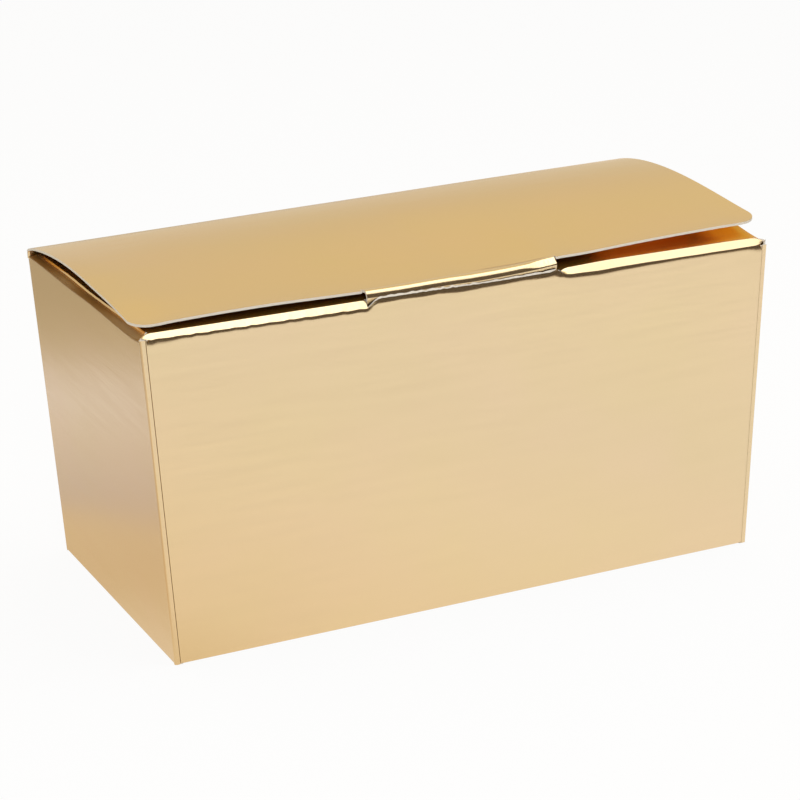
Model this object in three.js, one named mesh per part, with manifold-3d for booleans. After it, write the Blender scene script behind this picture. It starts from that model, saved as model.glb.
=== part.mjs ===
// A ballotin for chocolates: one blank of metallised board, creased, folded up and glued at its four
// corners, closed by a bowed lid whose tongue drops through a slit behind the lip of the front wall.
// Millimetres, Z up, front towards -Y, origin at the centre of the underside.
import * as THREE from "three";
import { mergeVertices } from "three/addons/utils/BufferGeometryUtils.js";
import Module from "manifold-3d";

const wasm = await Module();
wasm.setup();

// Board
const BOARD = 0.45; // thickness of the board
const CREASE_GAP = 0.05; // hairline between two panels that share a crease
const GLUE_FILM = 0.12; // thickness of the dried glue line, wall to web

// Box
const BASE_LENGTH = 119;
const BASE_DEPTH = 62.5;
const WALL_HEIGHT = 60; // underside to the lower line of the creases round the mouth
const END_LEAN = THREE.MathUtils.degToRad(2.8); // both end walls lean outwards
const FACE_LEAN = THREE.MathUtils.degToRad(0.6); // front and back walls lean outwards
const BASE_CREASE_RADIUS = 0.8; // outside of the fold under each wall
const BASE_CREASE_FOOT = 1.2; // width of each wall's fold that lies in the base
const MOUTH_CREASE_RADIUS = 0.6; // outside of the fold that starts each crease strip

// Crease strips round the mouth: each is a flat bevel between the two lines of a pressed crease
const FRONT_STRIP_DEPTH = 1.3;
const FRONT_STRIP_RISE = 0.9;
const SIDE_STRIP_DEPTH = 1;
const SIDE_STRIP_RISE = 0.3;

// Corner webs: the board between two walls, folded in two and laid flat inside the end wall
const WEB_REACH = 24; // along the end wall
const WEB_TIP_RADIUS = 3;
const WEB_TURN_RADIUS = 0.6; // outside of the fold from the front or back wall into its web
const WEB_LANDING = 0.1; // straight board past a web's fold
const WEB_FLOOR_CLEARANCE = 0.4; // web above the fold under the end wall
const WEB_TOP_CLEARANCE = 1; // web below the mouth
const GLUE_LINE_WIDTH = 5;
const GLUE_LINE_INSET = 6; // from the corner
const GLUE_LINE_LOW = 15;
const GLUE_LINE_HIGH = 42;
const GLUE_CLEARANCE = 0.02; // each side of the glue line

// Flaps under the lid
const FRONT_FLAP_DEPTH = 26;
const FRONT_FLAP_END_GAP = 0.5; // short of the end walls
const FRONT_FLAP_TAPER = 1.5; // each end, at the free edge
const FRONT_FLAP_CORNER = 6;
const SIDE_FLAP_DEPTH = 21;
const SIDE_FLAP_END_GAP = 2.5; // short of the front and back walls
const SIDE_FLAP_TAPER = THREE.MathUtils.degToRad(45);
const SIDE_FLAP_CORNER = 5;

// Lid
const HINGE_RISE = 1.45; // lid hinge above the creases round the mouth
const LID_OVERHANG = 0.15; // each end of the lid past the mouth
const LID_FRONT_SETBACK = 1.9; // front edge of the lid behind the front wall's face
const LID_CORNER = 5;
const LID_FRONT_RISE = 0.65; // front edge above the hinge, at mid length
const LID_RIGHT_LIFT = 2.42; // what the right front corner springs up by, from mid length
const LID_LEFT_DROOP = 0.3; // what the left front corner droops by
const LID_LEFT_DROOP_START = -36; // X where that droop begins
const LID_CROWN = 4.15; // bow of the lid at mid length
const LID_CROWN_TWIST = 1.45; // more bow at the right end, less at the left
const LID_CROWN_FADE = 0.5; // less bow at both ends
const LID_CROWN_PLACE = 0.47; // crest of the bow, as a share of the way from hinge to front edge
const LID_CROWN_BACK = 0.62; // steepness of the bow behind its crest
const LID_CROWN_FRONT = 1.31; // and in front of it

// Tongue and the slit it drops through
const SLIT_WIDTH = 39;
const SLIT_OFFSET = -1; // middle of the slit from the middle of the front wall
const TONGUE_WIDTH = 37.9;
const TONGUE_OFFSET = -0.75; // middle of the tongue from the middle of the lid
const TONGUE_DROP = 14; // straight board below its fold
const TONGUE_TUCK = THREE.MathUtils.degToRad(15); // lean of the tongue into the box
const TONGUE_BEND_RADIUS = 2;
const TONGUE_TAPER = 3; // each side, at the tip
const TONGUE_CORNER = 4;
const TONGUE_CLEARANCE = 0.25; // tongue behind the lip
const TONGUE_SIDE_GAP = 0.3; // relief cut in the lid each side of the tongue
const LIP_RISE = 1.3; // raw lip of the front wall above the crease line
const LIP_RAMP = 1.4; // run of the slope at each end of the lip
const SLIT_DEPTH = 2.6; // front wall's face to the flap's edge of the slit

// Modelling
const ARC_STEP = THREE.MathUtils.degToRad(18);
const LID_COLUMNS = 14;
const LID_ROWS = 22;
const LID_ROW_BUNCHING = 1.7; // rows lie closer near the hinge, where the bow is steepest
const CUT_MARGIN = 5; // how far a cutting outline runs past what it cuts

// Worked out from the above
const HINGE_HEIGHT = WALL_HEIGHT + HINGE_RISE;
const halfLengthAt = (z) => BASE_LENGTH / 2 + z * Math.tan(END_LEAN);
const halfDepthAt = (z) => BASE_DEPTH / 2 + z * Math.tan(FACE_LEAN);
const MOUTH_HALF_LENGTH = halfLengthAt(WALL_HEIGHT);
const MOUTH_HALF_DEPTH = halfDepthAt(WALL_HEIGHT);
const HINGE_Y = halfDepthAt(HINGE_HEIGHT);
const BEAD_WIDTH = 2 * BOARD + GLUE_FILM; // end wall and web, folded back to back
const FACE_WALL_INSET = BEAD_WIDTH + CREASE_GAP + WEB_TURN_RADIUS + WEB_LANDING + CREASE_GAP;
const END_WALL_INSET = BEAD_WIDTH / 2 + WEB_LANDING + CREASE_GAP;
const LID_HALF_LENGTH = MOUTH_HALF_LENGTH + LID_OVERHANG;
const SLIT_LEFT = SLIT_OFFSET - SLIT_WIDTH / 2;
const SLIT_RIGHT = SLIT_OFFSET + SLIT_WIDTH / 2;
const TONGUE_LEFT = TONGUE_OFFSET - TONGUE_WIDTH / 2;
const TONGUE_RIGHT = TONGUE_OFFSET + TONGUE_WIDTH / 2;
const LID_LENGTH = HINGE_Y + MOUTH_HALF_DEPTH - LID_FRONT_SETBACK;
const TONGUE_CREASE = HINGE_Y + MOUTH_HALF_DEPTH - BOARD - TONGUE_CLEARANCE - TONGUE_BEND_RADIUS;

// Finishes
const FOIL = { color: 0xd8b87e, roughness: 0.28, metalness: 0.9 };
const GLUE = { color: 0xe9dfc4, roughness: 0.55, metalness: 0 };

// Outlines and sections. A corner is [across, up] or [across, up, radius].

// One corner of an outline, as points with the normal to their right: one point, or an arc.
function turnCorner(before, corner, after) {
  const at = new THREE.Vector2(corner[0], corner[1]);
  const arrive = at.clone().sub(new THREE.Vector2(before[0], before[1])).normalize();
  const leave = new THREE.Vector2(after[0], after[1]).sub(at).normalize();
  const turn = Math.atan2(arrive.cross(leave), arrive.dot(leave));
  const radius = corner[2] ?? 0;
  const setback = radius * Math.tan(Math.abs(turn) / 2);
  const start = at.clone().addScaledVector(arrive, -setback);
  const steps = radius ? Math.ceil(Math.abs(turn) / ARC_STEP) : 0;
  const inward = radius * -Math.sign(turn);
  const normal = new THREE.Vector2(arrive.y, -arrive.x);
  const centre = start.clone().addScaledVector(normal, inward);
  if (!steps) return [{ point: at, normal }];
  return Array.from({ length: steps + 1 }, (_, i) => {
    const turned = normal.clone().rotateAround(new THREE.Vector2(), (turn * i) / steps);
    return { point: centre.clone().addScaledVector(turned, -inward), normal: turned };
  });
}

// Closed outline through the corners.
function outline(corners) {
  const around = corners.flatMap((corner, i) =>
    turnCorner(corners.at(i - 1), corner, corners[(i + 1) % corners.length]),
  );
  return new THREE.Shape(around.map(({ point }) => point));
}

// Section of folded board: the skin runs through the corners and the board lies to its right.
// A mitre shortens the inner face at the section's end.
function boardSection(corners, mitre = 0) {
  const ends = [corners.slice(0, 2), corners.slice(-2)].map(([a, b]) =>
    new THREE.Vector2(b[0] - a[0], b[1] - a[1]).normalize(),
  );
  const [first, last] = ends.map((along) => new THREE.Vector2(along.y, -along.x));
  const skin = [{ point: new THREE.Vector2(...corners[0]), normal: first }];
  for (let i = 1; i < corners.length - 1; i++) {
    skin.push(...turnCorner(corners[i - 1], corners[i], corners[i + 1]));
  }
  skin.push({ point: new THREE.Vector2(...corners.at(-1)), normal: last });
  const inner = skin.map(({ point, normal }) => point.clone().addScaledVector(normal, BOARD));
  inner.at(-1).addScaledVector(ends[1], -mitre);
  return [...skin.map(({ point }) => point), ...inner.reverse()];
}

// Shape of points given as distances in from one side of the box, at its near or far side.
function sideShape(points, halfWidth, side) {
  return new THREE.Shape(points.map(({ x, y }) => new THREE.Vector2(side * (halfWidth - x), y)));
}

// Solids

const AXIS_FRAMES = {
  x: [new THREE.Vector3(0, 1, 0), new THREE.Vector3(0, 0, 1), new THREE.Vector3(1, 0, 0)],
  y: [new THREE.Vector3(1, 0, 0), new THREE.Vector3(0, 0, 1), new THREE.Vector3(0, -1, 0)],
  z: [new THREE.Vector3(1, 0, 0), new THREE.Vector3(0, 1, 0), new THREE.Vector3(0, 0, 1)],
};

// Closed geometry as a solid that can be joined and cut.
function solidOf(geometry) {
  const bare = geometry.clone();
  bare.deleteAttribute("normal");
  bare.deleteAttribute("uv");
  const merged = mergeVertices(bare, 1e-5);
  const vertProperties = new Float32Array(merged.attributes.position.array);
  const triVerts = new Uint32Array(merged.index.array);
  return new wasm.Manifold(new wasm.Mesh({ numProp: 3, vertProperties, triVerts }));
}

function geometryOf(solid) {
  const { numProp, vertProperties, triVerts } = solid.getMesh();
  if (numProp !== 3) throw new Error("a solid carries more than its positions");
  return new THREE.BufferGeometry()
    .setAttribute("position", new THREE.BufferAttribute(vertProperties, 3))
    .setIndex(new THREE.BufferAttribute(triVerts, 1));
}

// A shape drawn across an axis, extruded along it. Across X it is drawn in (Y, Z), across Y in
// (X, Z) and across Z in (X, Y).
function extrude(shape, axis, from, to) {
  const geometry = new THREE.ExtrudeGeometry(shape, { depth: to - from, bevelEnabled: false });
  geometry.applyMatrix4(new THREE.Matrix4().makeBasis(...AXIS_FRAMES[axis]));
  geometry.translate(axis === "x" ? from : 0, axis === "y" ? to : 0, axis === "z" ? from : 0);
  return solidOf(geometry);
}

function piece(name, geometry, finish) {
  const facets = geometry.index ? geometry.toNonIndexed() : geometry;
  facets.computeVertexNormals();
  const mesh = new THREE.Mesh(facets, new THREE.MeshStandardMaterial(finish));
  mesh.name = name;
  return mesh;
}

// Base and walls

function basePanel() {
  const halfLength = BASE_LENGTH / 2 - BASE_CREASE_FOOT - CREASE_GAP;
  const halfDepth = BASE_DEPTH / 2 - BASE_CREASE_FOOT - CREASE_GAP;
  const plate = outline([
    [-halfLength, -halfDepth],
    [halfLength, -halfDepth],
    [halfLength, halfDepth],
    [-halfLength, halfDepth],
  ]);
  return geometryOf(extrude(plate, "z", 0, BOARD));
}

// Section of a wall, in distances in from the base's edge: its fold in the base, then the wall.
const wallSection = (lean, top, mitre) =>
  boardSection([[BASE_CREASE_FOOT, 0], [0, 0, BASE_CREASE_RADIUS], ...top(Math.tan(lean))], mitre);

// Section of a wall that ends in a crease strip, cut upright where its flap begins.
const stripWallSection = (lean, depth, rise) =>
  wallSection(
    lean,
    (slope) => [
      [-WALL_HEIGHT * slope, WALL_HEIGHT, MOUTH_CREASE_RADIUS],
      [depth - WALL_HEIGHT * slope, WALL_HEIGHT + rise],
    ],
    (BOARD * rise) / depth,
  );

// Section of a wall that runs straight up to its edge.
const straightWallSection = (lean, height, mitre) =>
  wallSection(lean, (slope) => [[-height * slope, height]], mitre);

// The front wall ends in a crease strip either side of the slit, and in a raw lip along it.
function frontWall() {
  const reach = MOUTH_HALF_LENGTH + CUT_MARGIN;
  const strip = stripWallSection(FACE_LEAN, FRONT_STRIP_DEPTH, FRONT_STRIP_RISE);
  const lip = straightWallSection(FACE_LEAN, WALL_HEIGHT + LIP_RISE);
  const stretch = (section, from, to) =>
    extrude(sideShape(section, BASE_DEPTH / 2, -1), "x", from, to);
  const top = WALL_HEIGHT + CUT_MARGIN;
  const side = (z) => halfLengthAt(z) - FACE_WALL_INSET;
  const face = outline([
    [-side(0), 0],
    [side(0), 0],
    [side(top), top],
    [SLIT_RIGHT, top],
    [SLIT_RIGHT, WALL_HEIGHT],
    [SLIT_RIGHT - LIP_RAMP, WALL_HEIGHT + LIP_RISE],
    [SLIT_LEFT + LIP_RAMP, WALL_HEIGHT + LIP_RISE],
    [SLIT_LEFT, WALL_HEIGHT],
    [SLIT_LEFT, top],
    [-side(top), top],
  ]);
  const wall = stretch(strip, -reach, SLIT_LEFT)
    .add(stretch(lip, SLIT_LEFT, SLIT_RIGHT))
    .add(stretch(strip, SLIT_RIGHT, reach));
  return geometryOf(wall.intersect(extrude(face, "y", -BASE_DEPTH, 0)));
}

// The back wall runs up past the webs to the lid's hinge, where its edge is mitred.
function backWall() {
  const reach = MOUTH_HALF_LENGTH + CUT_MARGIN;
  const section = straightWallSection(FACE_LEAN, HINGE_HEIGHT - CREASE_GAP, BOARD);
  const side = (z) => halfLengthAt(z) - FACE_WALL_INSET;
  const shoulder = WALL_HEIGHT + CREASE_GAP;
  const top = HINGE_HEIGHT + CUT_MARGIN;
  const face = outline([
    [-side(0), 0],
    [side(0), 0],
    [side(shoulder), shoulder],
    [LID_HALF_LENGTH, shoulder],
    [LID_HALF_LENGTH, top],
    [-LID_HALF_LENGTH, top],
    [-LID_HALF_LENGTH, shoulder],
    [-side(shoulder), shoulder],
  ]);
  const wall = extrude(sideShape(section, BASE_DEPTH / 2, 1), "x", -reach, reach);
  return geometryOf(wall.intersect(extrude(face, "y", 0, BASE_DEPTH)));
}

function endWall(side) {
  const reach = MOUTH_HALF_DEPTH + CUT_MARGIN;
  const section = stripWallSection(END_LEAN, SIDE_STRIP_DEPTH, SIDE_STRIP_RISE);
  const top = WALL_HEIGHT + CUT_MARGIN;
  const edge = (z) => halfDepthAt(z) - END_WALL_INSET;
  const face = outline([
    [-edge(0), 0],
    [edge(0), 0],
    [edge(top), top],
    [-edge(top), top],
  ]);
  const wall = extrude(sideShape(section, BASE_LENGTH / 2, side), "y", -reach, reach);
  const cut = extrude(face, "x", -BASE_LENGTH, BASE_LENGTH);
  return geometryOf(wall.intersect(cut));
}

// Corner webs and their glue, drawn upright at one corner of the base, then leant with its walls.

function leanWithWalls(solid, side, face) {
  const lean = new THREE.Matrix4().makeShear(
    0,
    0,
    0,
    0,
    side * Math.tan(END_LEAN),
    face * Math.tan(FACE_LEAN),
  );
  return geometryOf(solid).applyMatrix4(lean);
}

// A web's leaf: a full-height fold at the corner, and a triangle below it whose lower edge is the
// web's diagonal crease.
function webLeaf(section, column, side, face) {
  const plan = new THREE.Shape(
    section.map(({ x, y }) =>
      new THREE.Vector2(side * (BASE_LENGTH / 2 - x), face * (BASE_DEPTH / 2 - y)),
    ),
  );
  const diagonal = (Math.PI / 2 - END_LEAN - FACE_LEAN) / 2;
  const leaf = outline(
    [
      [-CUT_MARGIN, 0],
      [column, 0],
      [column, BASE_CREASE_RADIUS + WEB_FLOOR_CLEARANCE],
      [WEB_REACH, WEB_REACH / Math.tan(diagonal), WEB_TIP_RADIUS],
      [column, WALL_HEIGHT - WEB_TOP_CLEARANCE],
      [column, WALL_HEIGHT],
      [-CUT_MARGIN, WALL_HEIGHT],
    ].map(([inward, z, radius]) => [face * (BASE_DEPTH / 2 - inward), z, radius]),
  );
  const upright = extrude(plan, "z", 0, WALL_HEIGHT);
  const cut = extrude(leaf, "x", -BASE_LENGTH, BASE_LENGTH);
  return leanWithWalls(upright.intersect(cut), side, face);
}

// The outer leaf is folded right back on the end wall, and its fold makes the corner's bead.
function outerWeb(side, face) {
  const radius = BEAD_WIDTH / 2;
  const section = boardSection([
    [BEAD_WIDTH, WEB_REACH + CUT_MARGIN],
    [BEAD_WIDTH, 0, radius],
    [0, 0, radius],
    [0, radius + WEB_LANDING],
  ]);
  return webLeaf(section, radius + WEB_LANDING, side, face);
}

// The inner leaf turns off the front or back wall and lies on the outer one.
function innerWeb(side, face) {
  const skin = BEAD_WIDTH + CREASE_GAP;
  const section = boardSection([
    [skin + WEB_TURN_RADIUS + WEB_LANDING, 0],
    [skin, 0, WEB_TURN_RADIUS],
    [skin, WEB_REACH + CUT_MARGIN],
  ]);
  return webLeaf(section, WEB_TURN_RADIUS, side, face);
}

function glueLine(side, face) {
  const near = face * (BASE_DEPTH / 2 - GLUE_LINE_INSET);
  const far = near - face * GLUE_LINE_WIDTH;
  const radius = GLUE_LINE_WIDTH / 2 - CREASE_GAP;
  const line = outline([
    [near, GLUE_LINE_LOW, radius],
    [far, GLUE_LINE_LOW, radius],
    [far, GLUE_LINE_HIGH, radius],
    [near, GLUE_LINE_HIGH, radius],
  ]);
  const outer = BASE_LENGTH / 2 - BOARD - GLUE_CLEARANCE;
  const inner = BASE_LENGTH / 2 - BOARD - GLUE_FILM + GLUE_CLEARANCE;
  const reach = [side * outer, side * inner].sort((a, b) => a - b);
  return leanWithWalls(extrude(line, "x", ...reach), side, face);
}

// Flaps. A flap turns about the middle of its crease strip, so that its board neither stretches nor
// gathers when it stands up in line with its wall.

function creasePivot(depth, rise) {
  const length = Math.hypot(depth, rise);
  return { inward: (rise - length + depth) / 2, up: (rise + length - depth) / 2 };
}

function frontFlap() {
  const pivot = creasePivot(FRONT_STRIP_DEPTH, FRONT_STRIP_RISE);
  const near = FRONT_STRIP_DEPTH + CREASE_GAP - pivot.inward;
  const far = near + FRONT_FLAP_DEPTH;
  const slit = SLIT_DEPTH - pivot.inward;
  const side = MOUTH_HALF_LENGTH - FRONT_FLAP_END_GAP;
  const plate = outline([
    [-side, near],
    [SLIT_LEFT, near],
    [SLIT_LEFT, slit],
    [SLIT_RIGHT, slit],
    [SLIT_RIGHT, near],
    [side, near],
    [side - FRONT_FLAP_TAPER, far, FRONT_FLAP_CORNER],
    [FRONT_FLAP_TAPER - side, far, FRONT_FLAP_CORNER],
  ]);
  const skin = FRONT_STRIP_RISE - pivot.up;
  const flap = piece("front_flap", geometryOf(extrude(plate, "z", skin - BOARD, skin)), FOIL);
  const crease = new THREE.Group().add(flap);
  crease.position.set(0, pivot.inward - MOUTH_HALF_DEPTH, WALL_HEIGHT + pivot.up);
  return crease;
}

function sideFlap(name, side) {
  const pivot = creasePivot(SIDE_STRIP_DEPTH, SIDE_STRIP_RISE);
  const near = SIDE_STRIP_DEPTH + CREASE_GAP - pivot.inward;
  const far = near + SIDE_FLAP_DEPTH;
  const root = MOUTH_HALF_DEPTH - SIDE_FLAP_END_GAP;
  const tip = root - SIDE_FLAP_DEPTH * Math.tan(SIDE_FLAP_TAPER);
  const plate = outline([
    [-side * near, -root],
    [-side * far, -tip, SIDE_FLAP_CORNER],
    [-side * far, tip, SIDE_FLAP_CORNER],
    [-side * near, root],
  ]);
  const skin = SIDE_STRIP_RISE - pivot.up;
  const crease = new THREE.Group();
  crease.add(piece(name, geometryOf(extrude(plate, "z", skin - BOARD, skin)), FOIL));
  crease.position.set(side * (MOUTH_HALF_LENGTH - pivot.inward), 0, WALL_HEIGHT + pivot.up);
  return crease;
}

// Lid

// Height of the lid's skin above its hinge line, at X and at a distance in front of the hinge.
function lidRise(x, ahead) {
  const share = Math.min(ahead / LID_LENGTH, 1);
  const bow =
    (share / LID_CROWN_PLACE) ** LID_CROWN_BACK *
    ((1 - share) / (1 - LID_CROWN_PLACE)) ** LID_CROWN_FRONT;
  const along = x / LID_HALF_LENGTH;
  const crown = LID_CROWN + LID_CROWN_TWIST * along - LID_CROWN_FADE * along ** 2;
  const right = Math.max(0, along);
  const left = Math.max(0, LID_LEFT_DROOP_START - x) / (LID_LEFT_DROOP_START + LID_HALF_LENGTH);
  const front = LID_FRONT_RISE + LID_RIGHT_LIFT * right - LID_LEFT_DROOP * left;
  return front * share + crown * bow;
}

// Top and under points of the lid's board. The hinge edge is mitred, so the under point there lies
// as far in as it lies down.
function lidPoints(x, ahead) {
  const z = lidRise(x, ahead);
  const top = new THREE.Vector3(x, -ahead, z);
  if (ahead === 0) return [top, new THREE.Vector3(x, -BOARD, z - BOARD)];
  const step = 0.01;
  const slope = (lidRise(x, ahead + step) - z) / step;
  const normal = new THREE.Vector3(0, slope, 1).normalize();
  return [top, top.clone().addScaledVector(normal, -BOARD)];
}

// Bowed slab, wider and longer than the lid.
function lidSlab() {
  const halfWidth = MOUTH_HALF_LENGTH + CUT_MARGIN;
  const positions = [];
  for (let row = 0; row <= LID_ROWS; row++) {
    const ahead = (LID_LENGTH + 1) * (row / LID_ROWS) ** LID_ROW_BUNCHING;
    for (let column = 0; column <= LID_COLUMNS; column++) {
      const x = halfWidth * ((2 * column) / LID_COLUMNS - 1);
      for (const point of lidPoints(x, ahead)) positions.push(...point);
    }
  }
  const top = (column, row) => 2 * (row * (LID_COLUMNS + 1) + column);
  const under = (column, row) => top(column, row) + 1;
  const index = [];
  const quad = (a, b, c, d) => index.push(a, b, c, a, c, d);
  for (let row = 0; row < LID_ROWS; row++) {
    for (let column = 0; column < LID_COLUMNS; column++) {
      const [right, ahead] = [column + 1, row + 1];
      quad(top(column, ahead), top(right, ahead), top(right, row), top(column, row));
      quad(under(column, row), under(right, row), under(right, ahead), under(column, ahead));
    }
    quad(under(0, row), under(0, row + 1), top(0, row + 1), top(0, row));
    quad(
      top(LID_COLUMNS, row),
      top(LID_COLUMNS, row + 1),
      under(LID_COLUMNS, row + 1),
      under(LID_COLUMNS, row),
    );
  }
  for (let column = 0; column < LID_COLUMNS; column++) {
    quad(top(column, 0), top(column + 1, 0), under(column + 1, 0), under(column, 0));
    quad(
      under(column, LID_ROWS),
      under(column + 1, LID_ROWS),
      top(column + 1, LID_ROWS),
      top(column, LID_ROWS),
    );
  }
  const geometry = new THREE.BufferGeometry().setIndex(index);
  geometry.setAttribute("position", new THREE.Float32BufferAttribute(positions, 3));
  return solidOf(geometry);
}

// The lid's front edge is cut back to the tongue's crease along the tongue.
function lidPanel() {
  const crease = CREASE_GAP - TONGUE_CREASE;
  const plan = outline([
    [-LID_HALF_LENGTH, CUT_MARGIN],
    [-LID_HALF_LENGTH, -LID_LENGTH, LID_CORNER],
    [TONGUE_LEFT - TONGUE_SIDE_GAP, -LID_LENGTH],
    [TONGUE_LEFT - TONGUE_SIDE_GAP, crease],
    [TONGUE_RIGHT + TONGUE_SIDE_GAP, crease],
    [TONGUE_RIGHT + TONGUE_SIDE_GAP, -LID_LENGTH],
    [LID_HALF_LENGTH, -LID_LENGTH, LID_CORNER],
    [LID_HALF_LENGTH, CUT_MARGIN],
  ]);
  const height = LID_CROWN + LID_CROWN_TWIST + LID_FRONT_RISE + LID_RIGHT_LIFT + CUT_MARGIN;
  return lidSlab().intersect(extrude(plan, "z", -CUT_MARGIN, height));
}

// The tongue folds down off the lid and leans into the box. It is drawn from its crease.
function tongue() {
  const turn = Math.PI / 2 + TONGUE_TUCK;
  const setback = TONGUE_BEND_RADIUS * Math.tan(turn / 2);
  const run = setback + TONGUE_DROP;
  const tipAhead = setback + run * Math.cos(turn);
  const tipDrop = run * Math.sin(turn);
  const section = boardSection([
    [0, 0],
    [setback, 0, TONGUE_BEND_RADIUS],
    [tipAhead, -tipDrop],
  ]);
  const fold = extrude(sideShape(section, 0, 1), "x", TONGUE_LEFT, TONGUE_RIGHT);
  const face = outline([
    [TONGUE_LEFT - CUT_MARGIN, CUT_MARGIN],
    [TONGUE_LEFT, -TONGUE_BEND_RADIUS],
    [TONGUE_LEFT + TONGUE_TAPER, -tipDrop, TONGUE_CORNER],
    [TONGUE_RIGHT - TONGUE_TAPER, -tipDrop, TONGUE_CORNER],
    [TONGUE_RIGHT, -TONGUE_BEND_RADIUS],
    [TONGUE_RIGHT + CUT_MARGIN, CUT_MARGIN],
  ]);
  return fold.intersect(extrude(face, "y", -BASE_DEPTH, BASE_DEPTH));
}

function lidWithTongue() {
  const tongueCrease = new THREE.Group().add(piece("lid_tongue", geometryOf(tongue()), FOIL));
  tongueCrease.position.set(0, -TONGUE_CREASE, lidRise(TONGUE_OFFSET, TONGUE_CREASE));
  const hinge = new THREE.Group().add(piece("lid_panel", geometryOf(lidPanel()), FOIL), tongueCrease);
  hinge.position.set(0, HINGE_Y, HINGE_HEIGHT);
  return hinge;
}

// Assembly

const box = new THREE.Group();
box.add(piece("base_panel", basePanel(), FOIL));
box.add(piece("front_wall", frontWall(), FOIL));
box.add(piece("back_wall", backWall(), FOIL));
box.add(piece("left_wall", endWall(-1), FOIL));
box.add(piece("right_wall", endWall(1), FOIL));
for (const [end, side] of [["left", -1], ["right", 1]]) {
  for (const [wall, face] of [["front", -1], ["back", 1]]) {
    box.add(piece(`${wall}_${end}_web_outer`, outerWeb(side, face), FOIL));
    box.add(piece(`${wall}_${end}_web_inner`, innerWeb(side, face), FOIL));
    box.add(piece(`${wall}_${end}_glue_line`, glueLine(side, face), GLUE));
  }
}
box.add(frontFlap(), sideFlap("left_flap", -1), sideFlap("right_flap", 1), lidWithTongue());

export default box;
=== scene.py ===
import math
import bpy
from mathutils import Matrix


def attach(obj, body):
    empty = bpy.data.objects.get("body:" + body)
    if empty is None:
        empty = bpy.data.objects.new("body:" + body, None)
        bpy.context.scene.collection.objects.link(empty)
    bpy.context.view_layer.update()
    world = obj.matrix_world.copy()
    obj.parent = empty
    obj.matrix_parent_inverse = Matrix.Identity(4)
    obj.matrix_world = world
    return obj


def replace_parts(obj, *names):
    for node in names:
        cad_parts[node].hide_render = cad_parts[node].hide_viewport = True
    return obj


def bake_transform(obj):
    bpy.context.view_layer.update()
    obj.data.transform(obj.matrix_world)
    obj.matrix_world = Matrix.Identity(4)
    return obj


bl_info = {
    "name": "Gold card ballotin",
    "version": (1, 0, 0),
    "blender": (4, 5, 0),
    "location": "3D View > Sidebar > Ballotin",
    "description": "Builds a folded chocolate box of gold metallised card, panel by panel",
    "category": "Add Mesh",
}

import bpy
import numpy as np
from bpy.props import FloatProperty, FloatVectorProperty, PointerProperty
from mathutils import Matrix, Vector

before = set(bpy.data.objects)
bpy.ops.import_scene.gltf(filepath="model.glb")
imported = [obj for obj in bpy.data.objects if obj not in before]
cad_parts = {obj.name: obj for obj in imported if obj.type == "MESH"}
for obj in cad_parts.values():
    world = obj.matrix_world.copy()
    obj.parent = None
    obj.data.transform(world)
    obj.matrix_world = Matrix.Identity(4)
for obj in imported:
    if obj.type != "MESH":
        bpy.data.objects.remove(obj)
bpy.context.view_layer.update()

# Sizes of the folded card, in millimetres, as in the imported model
MM = 0.001
BOARD = 0.45
BASE_LENGTH = 119.0
BASE_DEPTH = 62.5
WALL_HEIGHT = 60.0
END_SLOPE = math.tan(math.radians(2.8))
FACE_SLOPE = math.tan(math.radians(0.6))
BASE_FOLD = 0.4  # radius of the fold between base and walls
BASE_FOOT = 1.2  # how far each wall's card reaches in under the box
PLAIN_TOP = 58.0  # height where a wall's plain part ends and its crease begins
FRONT_STRIP = (1.3, 0.9)  # depth and rise
END_STRIP = (1.75, 0.7)
BEAD_WIDTH = 1.02
BEAD_RADIUS = 0.38
GROOVE = 0.07  # hairline between a bead and the face beside it
WEB_REACH = 24.0
WEB_TIP_RADIUS = 3.0
WEB_FOOT = 1.2  # height of a leaf's lower edge at the corner, and next of its upper edge
WEB_SHOULDER = 59.0
WEB_TOP = 59.9
WEB_TURN = 0.05  # radius of the inner leaf's fold, and next of the tighter one at the front right
TIGHT_TURN = 0.03
WALL_TOP_STEPS = 4  # rows between an end wall's plain part and its flap
BACK_SHOULDER = 60.05  # height where the back wall's ears begin
FRONT_FLAP_END = 27.35
FRONT_FLAP_RADIUS = 6.0
END_FLAP_END = 22.05
END_FLAP_RADIUS = 5.0
HINGE_HEIGHT = 61.45
HINGE_Y = BASE_DEPTH / 2 + HINGE_HEIGHT * FACE_SLOPE
LID_HALF_LENGTH = 62.584
LID_LENGTH = 61.87187
LID_CORNERS = (4.2, 5.0)  # radius at the front left and the front right
TONGUE_CREASE = 61.07187
SLIT = (-20.5, 18.5)
TONGUE = (-20.3, 17.5)
TONGUE_FLARE = 0.4  # how much wider the tongue is where it leaves the lid
TONGUE_RADIUS = 4.0
TONGUE_DROP = 15.5  # its length below the fold
SLIT_DEPTH = 1.8
LIP_RISE = 0.92
LIP_RAMP = 1.4
STRIP_START = 0.21  # depth of the front strips' lower line
LIP_LEAN = 0.3  # how steeply the raw lip leans in
LIP_BURR = 0.36  # how far the lip's inner edge stands above its outer one
FLAP_SPRING = 0.14  # how steeply the front flap springs up at its right end
HAIR = 1e-6  # slack where a row or column is compared with a size
INSIDE = np.array([0.0, 0.0, 30.0])  # a point in the middle of the box
UNDER_FLAPS = np.array([0.0, 0.0, 0.0])
BEHIND_TONGUE = np.array([0.0, 0.0, 40.0])
DEEP_FILM_AND_SHADE_MARK = 300.0  # third part of a point's place on the blank, where the card has the deeper amber film: on the inner face, and as painted shade on the flaps' skin under the lid


def half_length(z):
    return BASE_LENGTH / 2 + z * END_SLOPE


def half_depth(z):
    return BASE_DEPTH / 2 + z * FACE_SLOPE


# Curves and grids


def smooth(t):
    t = np.clip(t, 0, 1)
    return t * t * (3 - 2 * t)


def rising(x, start, length):
    """0 up to start, then softly up to 1 over the length."""
    return smooth((x - start) / length)


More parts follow.
